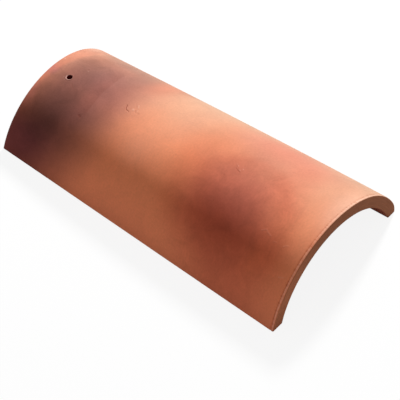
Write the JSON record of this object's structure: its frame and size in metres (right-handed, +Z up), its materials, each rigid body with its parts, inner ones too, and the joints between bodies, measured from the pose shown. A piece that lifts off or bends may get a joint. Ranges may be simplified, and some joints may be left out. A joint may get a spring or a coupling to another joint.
{
  "type": "barrel roof tile",
  "caption": "Tapered half-barrel roof tile of fired clay, with flat long edges, square-cut ends and a nail hole near its narrow end.",
  "frame": {"origin": "middle of the footprint, on the plane of the two long edges", "axes": "+X across the tile, +Y along it from the wide tail to the narrow head, up the roof, +Z up through the crown"},
  "size_m": [0.2138, 0.406, 0.0806],
  "materials": {
    "fired_clay": "matt unglazed terracotta with dark fire flashing"
  },
  "bodies": {
    "root": {"barrel_tile": "fired_clay"}
  },
  "joints": []
}
